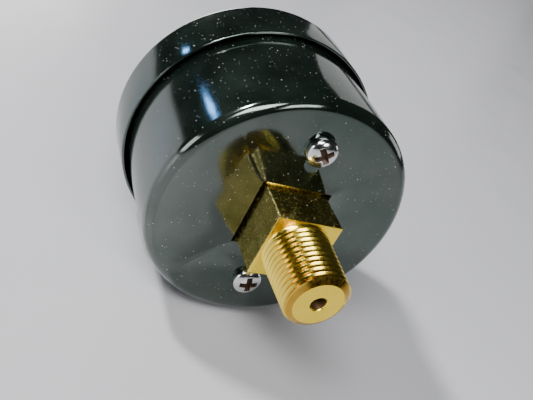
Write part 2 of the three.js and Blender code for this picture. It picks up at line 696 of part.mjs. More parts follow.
for (const [where, place] of Object.entries(caseScrewPlaces())) {
  add(`case_screw_${where}`, caseScrew(place), BRIGHT_STEEL);
}
for (const [where, place] of Object.entries(PILLARS)) {
  add(`pillar_${where}`, spacer(PILLAR_RADIUS, BETWEEN_REAR_Y, BETWEEN_FRONT_Y, place), BRASS);
  add(`plate_screw_${where}`, smallScrew(FRONT_PLATE_FRONT_Y, PLATE_SCREW_LENGTH, place), BRIGHT_STEEL);
}
for (const [where, place] of Object.entries(MOVEMENT_SCREWS)) {
  add(`movement_screw_${where}`, smallScrew(BETWEEN_REAR_Y, MOVEMENT_SCREW_LENGTH, place), BRIGHT_STEEL);
}
for (const [where, place] of Object.entries(DIAL_POSTS)) {
  add(`dial_post_${where}`, spacer(DIAL_POST_RADIUS, FRONT_PLATE_FRONT_Y, DIAL_Y, place), BRASS);
  add(`dial_screw_${where}`, smallScrew(DIAL_FRONT_Y, DIAL_SCREW_LENGTH, place), BRIGHT_STEEL);
}

export default gauge;
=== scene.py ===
"""The pressure gauge's looks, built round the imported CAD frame. Metres, the row's frame.

The gauge's axis is Y: the threaded stem points along +Y and the dial faces -Y. +Z is 12 o'clock.
A piece that is turned about the axis is given as a profile of (radius, y) points.
"""
import math

import bmesh
import bpy
from mathutils import Matrix, Quaternion, Vector, noise


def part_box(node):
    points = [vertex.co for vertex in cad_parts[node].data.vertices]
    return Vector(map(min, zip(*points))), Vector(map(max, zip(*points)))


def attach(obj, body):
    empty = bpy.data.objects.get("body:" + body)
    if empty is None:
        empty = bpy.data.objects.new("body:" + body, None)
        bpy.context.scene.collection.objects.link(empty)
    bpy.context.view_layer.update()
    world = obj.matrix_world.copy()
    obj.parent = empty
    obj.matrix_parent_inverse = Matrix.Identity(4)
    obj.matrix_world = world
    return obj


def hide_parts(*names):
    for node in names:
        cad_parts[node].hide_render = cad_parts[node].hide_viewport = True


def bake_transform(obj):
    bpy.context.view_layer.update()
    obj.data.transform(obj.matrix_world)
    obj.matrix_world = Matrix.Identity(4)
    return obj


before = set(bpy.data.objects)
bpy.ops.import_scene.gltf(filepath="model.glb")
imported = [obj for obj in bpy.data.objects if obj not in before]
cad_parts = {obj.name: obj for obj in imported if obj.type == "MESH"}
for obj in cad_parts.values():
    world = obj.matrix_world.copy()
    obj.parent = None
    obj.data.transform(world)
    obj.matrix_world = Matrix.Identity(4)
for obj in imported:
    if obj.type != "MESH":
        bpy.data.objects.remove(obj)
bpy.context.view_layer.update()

MM = 0.001

# ---- Places read from the CAD frame ----

CASE_LOW, CASE_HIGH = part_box("case_shell")
BEZEL_LOW, BEZEL_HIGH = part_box("bezel_ring")
SOCKET_LOW, SOCKET_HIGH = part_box("stem_socket")
DIAL_LOW, DIAL_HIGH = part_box("dial")
WINDOW_LOW, WINDOW_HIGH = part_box("window")
POINTER_LOW, POINTER_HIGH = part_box("pointer")
HUB_LOW, HUB_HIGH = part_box("pointer_hub")
TUBE_LOW, TUBE_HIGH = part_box("bourdon_tube")

CASE_RADIUS = CASE_HIGH.x
BACK_Y = CASE_HIGH.y
RIM_Y = CASE_LOW.y
BEZEL_RADIUS = BEZEL_HIGH.x
FRONT_Y = BEZEL_LOW.y
SHANK_HALF = SOCKET_HIGH.x
STEM_TIP_Y = SOCKET_HIGH.y
DIAL_RADIUS = DIAL_HIGH.x
DIAL_FRONT_Y = DIAL_LOW.y

# ---- Sizes that the CAD frame doesn't give ----

CASE_WALL = 0.7 * MM
CASE_CORNER = 1.8 * MM
SHANK_HOLE_HALF = 6.05 * MM
SCREW_HOLE_RADIUS = 1.65 * MM
BEZEL_LIP_RADIUS = 19.3 * MM
STEM_BASE_RADIUS = 5.25 * MM
STEM_TIP_RADIUS = 4.95 * MM
STEM_END_RADIUS = 3.8 * MM
STEM_CHAMFER = 0.55 * MM
BORE_RADIUS = 1.18 * MM
THREAD_PITCH = 0.94 * MM
THREAD_DEPTH = 0.58 * MM
THREAD_PROFILE = (  # (share of the pitch, share of the depth)
    (0.00, 0.0), (0.10, 0.0), (0.13, 0.06), (0.32, 0.5), (0.51, 0.94),
    (0.54, 1.0), (0.59, 1.0), (0.62, 0.94), (0.80, 0.5), (0.97, 0.06),
)
POINTER_REST = math.radians(225)
DIAL_SWEEP = math.radians(270)
ROUND = 192
THREAD_SIDES = 144
BORE_DEPTH = 9 * MM
BOX_FACES = ((0, 1, 2, 3), (7, 6, 5, 4), (0, 4, 5, 1), (1, 5, 6, 2), (2, 6, 7, 3), (3, 7, 4, 0))


# ---- Meshes ----

def finish_piece(bm, name, materials, sharp_angle=35):
    """Turns a bmesh into an object with outward faces, smooth shading and sharp hard edges."""
    bmesh.ops.recalc_face_normals(bm, faces=bm.faces)
    mesh = bpy.data.meshes.new(name)
    bm.to_mesh(mesh)
    bm.free()
    for each in materials:
        mesh.materials.append(each)
    mesh.polygons.foreach_set("use_smooth", [True] * len(mesh.polygons))
    mesh.set_sharp_from_angle(angle=math.radians(sharp_angle))
    piece = bpy.data.objects.new(name, mesh)
    bpy.context.scene.collection.objects.link(piece)
    return piece


def on_circle(radius, angle, y):
    """A point at some radius and angle about the gauge's axis. Angles go from 3 o'clock to 12."""
    return Vector((radius * math.cos(angle), y, radius * math.sin(angle)))


def middle(node):
    """The centre of a CAD node's box."""
    low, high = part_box(node)
    return (low + high) / 2


def smooth_step(value):
    """0 to 1 with a soft start and end."""
    value = min(1.0, max(0.0, value))
    return value * value * (3 - 2 * value)


def lathe(bm, profile, sides=ROUND, closed=False, centre=(0, 0)):
    """Turns a profile of (radius, y) points about an axis along Y through centre (x, z)."""
    shift = Vector((centre[0], 0, centre[1]))
    rings = []
    for radius, y in profile:
        if radius < 1e-9:
            rings.append([bm.verts.new(Vector((0, y, 0)) + shift)])
        else:
            rings.append([
                bm.verts.new(on_circle(radius, 2 * math.pi * i / sides, y) + shift)
                for i in range(sides)
            ])
    pairs = list(zip(rings, rings[1:] + rings[:1])) if closed else list(zip(rings, rings[1:]))
    for a, b in pairs:
        for i in range(sides):
            k = (i + 1) % sides
            corners = [a[i % len(a)], a[k % len(a)], b[k % len(b)], b[i % len(b)]]
            unique = list(dict.fromkeys(corners))
            if len(unique) > 2:
                bm.faces.new(unique)


def quarter(centre, radius, start, end, steps=8):
    """Profile points of an arc about centre (r, y), between two angles in degrees."""
    points = []
    for i in range(steps + 1):
        angle = math.radians(start + (end - start) * i / steps)
        points.append((centre[0] + radius * math.cos(angle), centre[1] + radius * math.sin(angle)))
    return points


def block(bm, low, high):
    """A box between two corners."""
    size = Vector(high) - Vector(low)
    place = Matrix.Translation((Vector(low) + Vector(high)) / 2) @ Matrix.Diagonal((*size, 1))
    return bmesh.ops.create_cube(bm, size=1, matrix=place)["verts"]


def settle(piece):
    """Applies a piece's modifiers to its mesh."""
    depsgraph = bpy.context.evaluated_depsgraph_get()
    mesh = bpy.data.meshes.new_from_object(piece.evaluated_get(depsgraph))
    piece.modifiers.clear()
    piece.data = mesh


def cut(piece, tool, operation="DIFFERENCE"):
    """Cuts a piece with a tool object and removes the tool."""
    modifier = piece.modifiers.new("cut", "BOOLEAN")
    modifier.operation = operation
    modifier.solver = "EXACT"
    modifier.object = tool
    settle(piece)
    bpy.data.objects.remove(tool)
    weld(piece)


def weld(piece, near=0.0005 * MM):
    """Joins vertices that lie almost at one place, and removes the slivers between them."""
    bm = bmesh.new()
    bm.from_mesh(piece.data)
    bmesh.ops.remove_doubles(bm, verts=bm.verts, dist=near)
    bmesh.ops.dissolve_degenerate(bm, edges=bm.edges, dist=near)
    bm.to_mesh(piece.data)
    bm.free()


def soften(piece, width, segments=2, angle=40):
    """Rounds a piece's hard edges."""
    modifier = piece.modifiers.new("soften", "BEVEL")
    modifier.width = width
    modifier.segments = segments
    modifier.limit_method = "ANGLE"
    modifier.angle_limit = math.radians(angle)
    modifier.use_clamp_overlap = True
    settle(piece)
    piece.data.polygons.foreach_set("use_smooth", [True] * len(piece.data.polygons))
    piece.data.set_sharp_from_angle(angle=math.radians(50))


def tool(build):
    """A throwaway object for cut(), from a function that fills a bmesh."""
    bm = bmesh.new()
    build(bm)
    return finish_piece(bm, "tool", [])


# ---- Materials ----

class Look:
    """A Principled material with short helpers for its nodes. Patterns are in millimetres."""

    def __init__(self, name, colour, metallic=0.0, roughness=0.5, **sockets):
        self.material = bpy.data.materials.new(name)
        self.material.use_nodes = True
        self.nodes = self.material.node_tree.nodes
        self.links = self.material.node_tree.links
        self.shader = self.nodes["Principled BSDF"]
        self.shader.inputs["Base Color"].default_value = (*colour, 1)
        self.shader.inputs["Metallic"].default_value = metallic
        self.shader.inputs["Roughness"].default_value = roughness
        for socket, value in sockets.items():
            self.shader.inputs[socket.replace("_", " ")].default_value = value
        self.place = self.node("ShaderNodeTexCoord").outputs["Object"]

    def node(self, kind, **values):
        made = self.nodes.new(kind)
        for key, value in values.items():
            if hasattr(made, key):
                setattr(made, key, value)
            else:
                made.inputs[key.replace("_", " ")].default_value = value
        return made

    def scaled(self, scale=(1, 1, 1)):
        mapping = self.node("ShaderNodeMapping")
        mapping.inputs["Scale"].default_value = [each / MM for each in scale]
        self.links.new(self.place, mapping.inputs["Vector"])
        return mapping.outputs["Vector"]

    def noise(self, scale, detail=3.0, roughness=0.55, stretch=(1, 1, 1)):
        made = self.node("ShaderNodeTexNoise", Scale=scale, Detail=detail, Roughness=roughness)
        self.links.new(self.scaled(stretch), made.inputs["Vector"])
        return made.outputs["Fac"]

    def ramp(self, source, low, high, to_low=0.0, to_high=1.0):
        made = self.node("ShaderNodeMapRange")
        for key, value in (("From Min", low), ("From Max", high), ("To Min", to_low), ("To Max", to_high)):
            made.inputs[key].default_value = value
        self.links.new(source, made.inputs["Value"])
        return made.outputs["Result"]

    def maths(self, operation, a, b):
        made = self.node("ShaderNodeMath", operation=operation)
        for socket, value in zip(made.inputs, (a, b)):
            if isinstance(value, (int, float)):
                socket.default_value = value
            else:
                self.links.new(value, socket)
        return made.outputs["Value"]

    def blend(self, factor, a, b):
        """A colour between two colours or colour outputs."""
        made = self.node("ShaderNodeMix", data_type="RGBA")
        self.links.new(factor, made.inputs["Factor"])
        for socket, value in ((made.inputs["A"], a), (made.inputs["B"], b)):
            sockets = [each for each in made.inputs if each.name == socket.name and each.type == "RGBA"]
            if isinstance(value, tuple):
                sockets[0].default_value = (*value, 1)
            else:
                self.links.new(value, sockets[0])
        return [each for each in made.outputs if each.type == "RGBA"][0]

    def specks(self, scale, size, share=0.5):
        """A mask of small round specks: size is in cells, share is how many cells hold one."""
        cells = self.node("ShaderNodeTexVoronoi", Scale=scale)
        self.links.new(self.scaled(), cells.inputs["Vector"])
        split = self.node("ShaderNodeSeparateColor")
        self.links.new(cells.outputs["Color"], split.inputs["Color"])
        near = self.ramp(cells.outputs["Distance"], size, size * 0.5)
        chosen = self.maths("LESS_THAN", split.outputs[0], share)
        faintest = 0.15
        strength = self.ramp(split.outputs[1], 0, 1, faintest, 1.0)
        return self.maths("MULTIPLY", self.maths("MULTIPLY", near, chosen), strength)

    def layered_specks(self, *layers):
        """Specks of several sizes, each layer given as for specks()."""
        mask = self.specks(*layers[0])
        for layer in layers[1:]:
            mask = self.maths("MAXIMUM", mask, self.specks(*layer))
        return mask

    def bump(self, height, distance, strength=1.0):
        made = self.node("ShaderNodeBump", Strength=strength, Distance=distance)
        self.links.new(height, made.inputs["Height"])
        previous = self.shader.inputs["Normal"]
        if previous.is_linked:
            self.links.new(previous.links[0].from_socket, made.inputs["Normal"])
        self.links.new(made.outputs["Normal"], previous)

    def feed(self, socket, output):
        self.links.new(output, self.shader.inputs[socket])

    def across_axis(self):
        """The place's X and Z, in millimetres."""
        split = self.node("ShaderNodeSeparateXYZ")
        self.links.new(self.scaled(), split.inputs["Vector"])
        return split.outputs[0], split.outputs[2]

    def axis_distance(self):
        """Distance from the gauge's axis, in millimetres."""
        squares = [self.maths("MULTIPLY", each, each) for each in self.across_axis()]
        return self.maths("POWER", self.maths("ADD", *squares), 0.5)

    def turning_marks(self, spacing, distance):
        """Fine concentric tool marks round the axis."""
        rings = self.node("ShaderNodeTexNoise", noise_dimensions="1D", Scale=1 / spacing, Detail=2.0)
        self.links.new(self.axis_distance(), rings.inputs["W"])
        self.bump(rings.outputs["Fac"], distance)
        return rings.outputs["Fac"]


def enamel():
    """Gloss black stoved enamel with a faint orange peel, haze and pale dust."""
    look = Look("black_enamel", (0.010, 0.014, 0.012), 0.0, 0.12, IOR=2.1)
    patches = look.ramp(look.noise(0.16, 4.0), 0.35, 0.60, 0.3, 1.0)
    dust = look.maths("MULTIPLY", look.layered_specks((0.85, 0.09, 0.9), (1.7, 0.11, 0.7)), patches)
    haze = look.ramp(look.noise(0.12, 5.0), 0.35, 0.7)
    black = look.blend(haze, (0.002, 0.004, 0.003), (0.007, 0.012, 0.009))
    look.feed("Base Color", look.blend(dust, black, (0.72, 0.70, 0.62)))
    gloss = look.ramp(haze, 0, 1, 0.08, 0.15)
    look.feed("Roughness", look.maths("MAXIMUM", gloss, look.maths("MULTIPLY", dust, 0.8)))
    film = look.ramp(look.noise(0.07, 3.0), 0.35, 0.65)
    look.feed("Specular Tint", look.blend(film, (0.56, 0.72, 0.63), (0.90, 1.0, 0.94)))
    look.bump(look.noise(0.9, 2.0), 0.004 * MM)
    look.bump(dust, 0.02 * MM)
    return look.material


def brass_turned():
    """Bright turned brass with fine tool marks round the axis."""
    look = Look("turned_brass", (0.83, 0.60, 0.20), 1.0, 0.26)
    marks = look.turning_marks(0.12, 0.006 * MM)
    shade = look.blend(look.noise(0.6, 4.0), (0.95, 0.66, 0.045), (1.0, 0.75, 0.09))
    look.feed("Base Color", shade)
    look.feed("Roughness", look.ramp(marks, 0.3, 0.7, 0.20, 0.34))
    return look.material


def brass_thread():
    """Brass thread, painted darker in the roots as shade and brighter on the crests as a highlight."""
    look = Look("thread_brass", (0.80, 0.55, 0.16), 1.0, 0.18)
    root_mm, crest_mm = 4.55, 5.0
    crest = look.ramp(look.axis_distance(), root_mm, crest_mm)
    # The roots' colour is painted shade and the crests' colour a painted highlight.
    root_shade = look.blend(look.noise(1.1, 4.0), (0.40, 0.21, 0.025), (0.62, 0.38, 0.05))
    crest_highlight = look.blend(look.noise(1.6, 4.0), (0.96, 0.69, 0.07), (1.0, 0.81, 0.16))
    look.feed("Base Color", look.blend(crest, root_shade, crest_highlight))
    look.feed("Roughness", look.ramp(look.noise(2.5, 3.0), 0.3, 0.7, 0.12, 0.24))
    look.bump(look.noise(3.0, 2.0, stretch=(1, 5, 1)), 0.003 * MM)
    return look.material


def brass_drawn():
    """Dull drawn brass flats with stains and dust, and bright worn corners."""
    look = Look("drawn_brass", (0.46, 0.36, 0.10), 1.0, 0.3)
    stain = look.ramp(look.noise(0.5, 5.0), 0.35, 0.65)
    base = look.blend(stain, (0.60, 0.47, 0.11), (0.97, 0.77, 0.22))
    sides = [look.maths("ABSOLUTE", each, 0) for each in look.across_axis()]
    wander = look.ramp(look.noise(1.6, 3.0), 0.3, 0.7, -0.12, 0.12)
    corner = look.maths("ADD", look.maths("MINIMUM", *sides), wander)
    dull_mm, worn_mm = 5.22, 5.42  # from the axis: the flats are 5.5 mm out
    worn = look.ramp(corner, dull_mm, worn_mm)
    specks = look.layered_specks((1.0, 0.12, 0.7), (1.8, 0.11, 0.5))
    marked = look.blend(worn, base, (0.98, 0.80, 0.38))
    look.feed("Base Color", look.blend(specks, marked, (0.90, 0.84, 0.62)))
    look.feed("Metallic", look.ramp(specks, 0, 1, 1, 0))
    look.feed("Roughness", look.ramp(look.noise(1.8, 4.0), 0.3, 0.7, 0.17, 0.30))
    look.bump(look.noise(2.2, 4.0, stretch=(1, 0.25, 1)), 0.008 * MM)
    look.bump(specks, 0.005 * MM)
    return look.material


def brass_bore_shade():
    """Brass inside the bore, painted dark as the shade that falls there."""
    look = Look("bore_shade_brass", (0.10, 0.05, 0.015), 0.6, 0.5)
    look.feed("Base Color", look.blend(look.noise(1.0, 4.0), (0.05, 0.02, 0.006), (0.16, 0.09, 0.03)))
    look.feed("Roughness", look.ramp(look.noise(2.0), 0.3, 0.7, 0.4, 0.6))
    look.bump(look.noise(3.0), 0.004 * MM)
    return look.material


def recess_shade_and_rust():
    """Dark brown in the screws' recesses: painted shade, with some rust."""
    look = Look("recess_shade_and_rust", (0.05, 0.03, 0.02), 0.3, 0.6)
    look.feed("Base Color", look.blend(look.noise(1.5, 4.0), (0.016, 0.010, 0.008), (0.12, 0.06, 0.03)))
    look.feed("Roughness", look.ramp(look.noise(2.5), 0.3, 0.7, 0.45, 0.75))
    look.bump(look.noise(4.0), 0.01 * MM)
    return look.material


def brass_sheet():
    """Stamped brass of the movement's plates and levers."""
    look = Look("sheet_brass", (0.72, 0.52, 0.19), 1.0, 0.34)
    look.feed("Base Color", look.blend(look.noise(0.4, 4.0), (0.64, 0.44, 0.15), (0.78, 0.58, 0.23)))
    look.feed("Roughness", look.ramp(look.noise(1.5, 3.0, stretch=(6, 1, 1)), 0.3, 0.7, 0.26, 0.42))
    look.bump(look.noise(2.0, 3.0, stretch=(8, 1, 1)), 0.004 * MM)
    return look.material


def tube_bronze():
    """Drawn phosphor bronze with a mottled tone."""
    look = Look("tube_bronze", (0.60, 0.36, 0.17), 1.0, 0.36)
    look.feed("Base Color", look.blend(look.noise(0.15, 3.0), (0.50, 0.27, 0.13), (0.68, 0.44, 0.22)))
    look.feed("Roughness", look.ramp(look.noise(1.2, 3.0), 0.3, 0.7, 0.28, 0.46))
    look.bump(look.noise(1.5, 3.0), 0.004 * MM)
    return look.material


def bright_plate():
    """Bright nickel plate with faint scuffs."""
    look = Look("nickel_plate", (0.74, 0.74, 0.75), 1.0, 0.14)
    look.feed("Base Color", look.blend(look.noise(1.3, 4.0), (0.62, 0.61, 0.60), (0.82, 0.82, 0.83)))
    look.feed("Roughness", look.ramp(look.noise(2.4, 4.0), 0.3, 0.75, 0.08, 0.24))
    look.bump(look.noise(2.0, 3.0), 0.006 * MM)
    return look.material


def spring_steel():
    """Blue-grey spring strip."""
    look = Look("spring_steel", (0.42, 0.43, 0.46), 1.0, 0.28)
    look.feed("Base Color", look.blend(look.noise(0.8), (0.34, 0.35, 0.39), (0.50, 0.51, 0.53)))
    look.feed("Roughness", look.ramp(look.noise(3.0), 0.3, 0.7, 0.22, 0.36))
    look.bump(look.noise(5.0), 0.001 * MM)
    return look.material


def dial_white():
    """Satin white paint on the dial plate."""
    look = Look("dial_white", (0.84, 0.84, 0.80), 0.0, 0.42)
    look.feed("Base Color", look.blend(look.noise(0.08, 4.0), (0.80, 0.80, 0.755), (0.86, 0.86, 0.83)))
    look.feed("Roughness", look.ramp(look.noise(1.0), 0.3, 0.7, 0.36, 0.5))
    look.bump(look.noise(3.0, 2.0), 0.003 * MM)
    return look.material


def ink(name, colour, roughness):
    """Printing ink or matt paint with a fine grain."""
    look = Look(name, colour, 0.0, roughness)
    lighter = tuple(min(1, each * 1.6 + 0.004) for each in colour)
    look.feed("Base Color", look.blend(look.noise(1.5, 4.0), colour, lighter))
    look.feed("Roughness", look.ramp(look.noise(4.0), 0.3, 0.7, roughness - 0.08, roughness + 0.08))
    look.bump(look.noise(6.0), 0.002 * MM)
    return look.material


def clear_pane():
    """Clear window with a trace of surface waviness."""
    look = Look("clear_pane", (0.97, 0.985, 0.98), 0.0, 0.02, IOR=1.49, Transmission_Weight=1.0)
    look.feed("Roughness", look.ramp(look.noise(0.5, 4.0), 0.4, 0.8, 0.005, 0.03))
    look.bump(look.noise(0.06, 2.0), 0.002 * MM)
    return look.material


def table_top():
    """Pale floor."""
    look = Look("pale_floor", (0.55, 0.55, 0.575), 0.0, 0.35)
    shade = look.blend(look.noise(0.01, 3.0), (0.495, 0.495, 0.52), (0.535, 0.535, 0.56))
    look.feed("Base Color", shade)
    look.feed("Roughness", look.ramp(look.noise(0.05), 0.3, 0.7, 0.30, 0.4))
    return look.material


ENAMEL = enamel()
TURNED = brass_turned()
THREAD = brass_thread()
DRAWN = brass_drawn()
BORE_SHADE = brass_bore_shade()
RECESS_SHADE_AND_RUST = recess_shade_and_rust()
SHEET = brass_sheet()
BRONZE = tube_bronze()
NICKEL = bright_plate()
SPRING = spring_steel()
WHITE = dial_white()
BLACK_INK = ink("black_ink", (0.012, 0.012, 0.013), 0.45)
POINTER_PAINT = ink("pointer_paint", (0.009, 0.009, 0.010), 0.38)
RUBBER = ink("gasket_rubber", (0.014, 0.014, 0.014), 0.8)
CLEAR = clear_pane()


def stands_for(piece, body, slot, *nodes):
    """Fixes a piece to its body and hides the CAD nodes it takes the place of. The slot is not used."""
    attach(piece, body)
    if nodes:
        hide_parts(*nodes)


# ---- Case and bezel ----

def make_case():
    """The drawn case, with a square hole for the shank and two round ones for the screws."""
    corner = (CASE_RADIUS - CASE_CORNER, BACK_Y - CASE_CORNER)
    inner = CASE_RADIUS - CASE_WALL
    rim_round = 0.2 * MM
    hole_edge = 0.12 * MM
    bm = bmesh.new()
    lathe(bm, [
        (0, BACK_Y),
        *quarter(corner, CASE_CORNER, 90, 0, 12),
        (CASE_RADIUS, (BACK_Y + RIM_Y) / 2),
        *quarter((CASE_RADIUS - rim_round, RIM_Y + rim_round), rim_round, 0, -90, 3),
        (inner, RIM_Y),
        *quarter(corner, CASE_CORNER - CASE_WALL, 0, 90, 6),
        (0, BACK_Y - CASE_WALL),
    ])
    case = finish_piece(bm, "drawn_case", [ENAMEL])
    past = 1 * MM
    half = SHANK_HOLE_HALF
    low, high = BACK_Y - CASE_WALL - past, BACK_Y + past
    cut(case, tool(lambda bm: block(bm, (-half, low, -half), (half, high, half))))
    for screw in ("case_screw_upper", "case_screw_lower"):
        centre = middle(screw)
        profile = [(0, low), (SCREW_HOLE_RADIUS, low), (SCREW_HOLE_RADIUS, high), (0, high)]
        cut(case, tool(lambda bm: lathe(bm, profile, 48, centre=(centre.x, centre.z))))
    soften(case, hole_edge)
    stands_for(case, "case", "black_paint", "case_shell")


def make_bezel():
    """The bezel slips over the case's rim. Its rear edge is a thin step with a groove inside it."""
    play = 0.05 * MM
    bore = CASE_RADIUS + play
    rear = BEZEL_HIGH.y
    front_round = 1.1 * MM
    rear_round = 0.18 * MM
    lip = 0.7 * MM
    groove_width, groove_depth = 0.55 * MM, 1.4 * MM
    chamfer = 0.05 * MM
    bm = bmesh.new()
    lathe(bm, [
        *quarter((BEZEL_RADIUS - rear_round, rear - rear_round), rear_round, 90, 0, 4),
        (BEZEL_RADIUS, (rear + FRONT_Y) / 2),
        *quarter((BEZEL_RADIUS - front_round, FRONT_Y + front_round), front_round, 0, -90, 10),
        *quarter((BEZEL_LIP_RADIUS + lip / 2, FRONT_Y + lip / 2), lip / 2, -90, -270, 8),
        (bore, FRONT_Y + lip),
        (bore, rear - groove_depth),
        (bore + groove_width, rear - chamfer),
        (bore + groove_width + chamfer, rear),
    ], closed=True)
    stands_for(finish_piece(bm, "bezel", [ENAMEL]), "case", "black_paint", "bezel_ring")


def make_window():
    """The clear pane in front of the dial."""
    edge = 0.15 * MM
    radius = WINDOW_HIGH.x
    low, high = WINDOW_LOW.y, WINDOW_HIGH.y
    bm = bmesh.new()
    lathe(bm, [
        (0, low), (radius - edge, low), (radius, low + edge),
        (radius, high - edge), (radius - edge, high), (0, high),
    ])
    stands_for(finish_piece(bm, "window_pane", [CLEAR]), "case", "window_clear", "window")


# ---- Brass socket ----

def thread_radius(y, depth):
    """The tapered thread's radius, with a run-out at the shoulder."""
    crest = STEM_BASE_RADIUS + (STEM_TIP_RADIUS - STEM_BASE_RADIUS) * y / STEM_TIP_Y
    runout = 0.35 + 0.65 * smooth_step(y / (1.2 * MM))
    return crest - depth * runout * THREAD_DEPTH


def thread_rod():
    """A right-hand thread longer than the stem. Its mesh lines follow the helix."""
    sides = THREAD_SIDES
    per_pitch = len(THREAD_PROFILE)
    turns = range(-2, math.ceil(STEM_TIP_Y / THREAD_PITCH) + 3)
    bm = bmesh.new()
    columns = []
    for i in range(sides):
        column = []
        for turn in turns:
            for phase, depth in THREAD_PROFILE:
                y = THREAD_PITCH * (turn + phase - i / sides)
                column.append(bm.verts.new(on_circle(thread_radius(y, depth), 2 * math.pi * i / sides, y)))
        columns.append(column)
    for a, b in zip(columns, columns[1:]):
        for k in range(len(a) - 1):
            bm.faces.new((a[k], b[k], b[k + 1], a[k + 1]))
    first, last = columns[0], columns[-1]
    for k in range(per_pitch, len(last) - 1):  # the helix climbs one pitch a turn
        shifted = k - per_pitch
        bm.faces.new((last[k], first[shifted], first[shifted + 1], last[k + 1]))
    low_edge = [column[0] for column in columns] + last[1:per_pitch + 1]
    high_edge = first[-per_pitch - 1:] + [column[-1] for column in columns[1:]]
    for edge in (low_edge, high_edge):
        y = sum(vertex.co.y for vertex in edge) / len(edge)
        hub = bm.verts.new((0, y, 0))
        for a, b in zip(edge, edge[1:] + edge[:1]):
            bm.faces.new((hub, a, b))
    return finish_piece(bm, "threaded_stem", [THREAD, TURNED, BORE_SHADE], 45)


def make_stem():
    """The thread, turned to length with a chamfered end, and bored."""
    inside_y = -0.3 * MM
    past = 1 * MM
    bevel = 0.14 * MM
    wide = STEM_BASE_RADIUS + 0.4 * MM
    slope = STEM_CHAMFER / (STEM_TIP_RADIUS - STEM_END_RADIUS)
    blank = [
        (0, inside_y), (wide, inside_y), (wide, STEM_TIP_Y - slope * (wide - STEM_END_RADIUS)),
        (STEM_END_RADIUS, STEM_TIP_Y), (0, STEM_TIP_Y),
    ]
    floor_y = STEM_TIP_Y - BORE_DEPTH
    bore = [
        (0, floor_y), (BORE_RADIUS, floor_y), (BORE_RADIUS, STEM_TIP_Y - bevel),
        (BORE_RADIUS + bevel + past, STEM_TIP_Y + past), (0, STEM_TIP_Y + past),
    ]
    stem = thread_rod()
    cut(stem, tool(lambda bm: lathe(bm, blank, THREAD_SIDES)), "INTERSECT")
    cut(stem, tool(lambda bm: lathe(bm, bore, 64)))
    mesh = stem.data
    mesh.set_sharp_from_angle(angle=math.radians(45))
    end = STEM_TIP_Y - 0.001 * MM
    for edge in mesh.edges:
        if all(mesh.vertices[i].co.y > end for i in edge.vertices):
            edge.use_edge_sharp = True
    for face in mesh.polygons:
        # Faces in the bore get brass painted dark as shade.
        if math.hypot(face.center.x, face.center.z) < BORE_RADIUS + bevel / 4:
            look = BORE_SHADE
        elif face.center.y > STEM_TIP_Y - bevel:
            look = TURNED
        else:
            look = THREAD
        face.material_index = mesh.materials.find(look.name)
    stands_for(stem, "case", "brass", "stem_socket")


def roughen_edges(bm, reach, depth, seed):
    """Pushes vertices near a block's long edges in by a wandering amount, as wear and burrs."""
    grain = 0.45 * MM
    for vertex in bm.verts:
        x, z = abs(vertex.co.x), abs(vertex.co.z)
        near = 1 - min(1.0, max(SHANK_HALF - x, SHANK_HALF - z) / reach)
        if near > 0:
            wander = noise.noise(vertex.co / grain + Vector((seed, 0, 0)))
            inward = Vector((vertex.co.x, 0, vertex.co.z)).normalized()
            vertex.co -= inward * depth * near * (0.6 + wander)


def make_block():
    """The square shank. Its front end reaches inside the case."""
    inner_y = BACK_Y - CASE_WALL - 0.4 * MM
    bm = bmesh.new()
    block(bm, (-SHANK_HALF, inner_y, -SHANK_HALF), (SHANK_HALF, 0, SHANK_HALF))
    edge_round = 0.16 * MM
    bmesh.ops.bevel(bm, geom=list(bm.edges), offset=edge_round, segments=2, profile=0.6, affect="EDGES")
    long_edges = [edge for edge in bm.edges if edge.calc_length() > 3 * MM]
    bmesh.ops.subdivide_edges(bm, edges=long_edges, cuts=40, use_grid_fill=True)
    roughen_edges(bm, 0.35 * MM, 0.10 * MM, 3.0)
    for face in bm.faces:
        on_shoulder = face.normal.y > 0.9 and face.calc_center_median().y > -0.05 * MM
        face.material_index = 1 if on_shoulder else 0
    shank = finish_piece(bm, "square_shank", [DRAWN, TURNED], 30)
    stands_for(shank, "case", "brass", "stem_socket")


def make_crossbar():
    """The socket's bar and tube seat, inside the case."""
    bar_rear, bar_front = BACK_Y - CASE_WALL - 0.05 * MM, BACK_Y - CASE_WALL - 5.05 * MM
    half_width, half_length = 5.2 * MM, 16.5 * MM
    bm = bmesh.new()
    block(bm, (-half_width, bar_front, -half_length), (half_width, bar_rear, half_length))
    bar = finish_piece(bm, "socket_bar", [DRAWN])
    seat_low = (-3.5 * MM, SOCKET_LOW.y, SOCKET_LOW.z)
    seat_high = (2.6 * MM, bar_front + 0.5 * MM, -13.4 * MM)
    bm = bmesh.new()
    block(bm, seat_low, seat_high)
    seat = finish_piece(bm, "tube_seat", [DRAWN])
    tube_y = (TUBE_LOW.y + TUBE_HIGH.y) / 2
    pocket_half = 2.6 * MM
    pocket_low = (-6 * MM, tube_y - pocket_half, -16.7 * MM)
    pocket_high = (0.3 * MM, tube_y + pocket_half, -14.0 * MM)
    cut(seat, tool(lambda bm: block(bm, pocket_low, pocket_high)))
    for piece in (bar, seat):
        soften(piece, 0.2 * MM)
        stands_for(piece, "case", "brass", "stem_socket")


# ---- Screws ----

def recess_blade(bm, centre, top, across, turn):
    """One tapering blade of a cross recess, as a driver bit leaves. across is its turn within the cross."""
    reach, width, depth = 1.55 * MM, 0.46 * MM, 1.0 * MM
    past = 0.3 * MM
    corners = []
    for y, scale in ((top + past, 1.15), (top - depth, 0.70)):
        for x, z in ((-reach, -width), (reach, -width), (reach, width), (-reach, width)):
            point = Vector((x * scale, 0, z * max(scale, 0.8)))
            point.rotate(Quaternion((0, 1, 0), across))
            corners.append(bm.verts.new(point + Vector((centre.x, y, centre.z))))
    for face in BOX_FACES:
        bm.faces.new([corners[i] for i in face])
    here = Vector((centre.x, 0, centre.z))
    bmesh.ops.rotate(bm, verts=bm.verts, cent=here, matrix=Matrix.Rotation(turn, 3, "Y"))


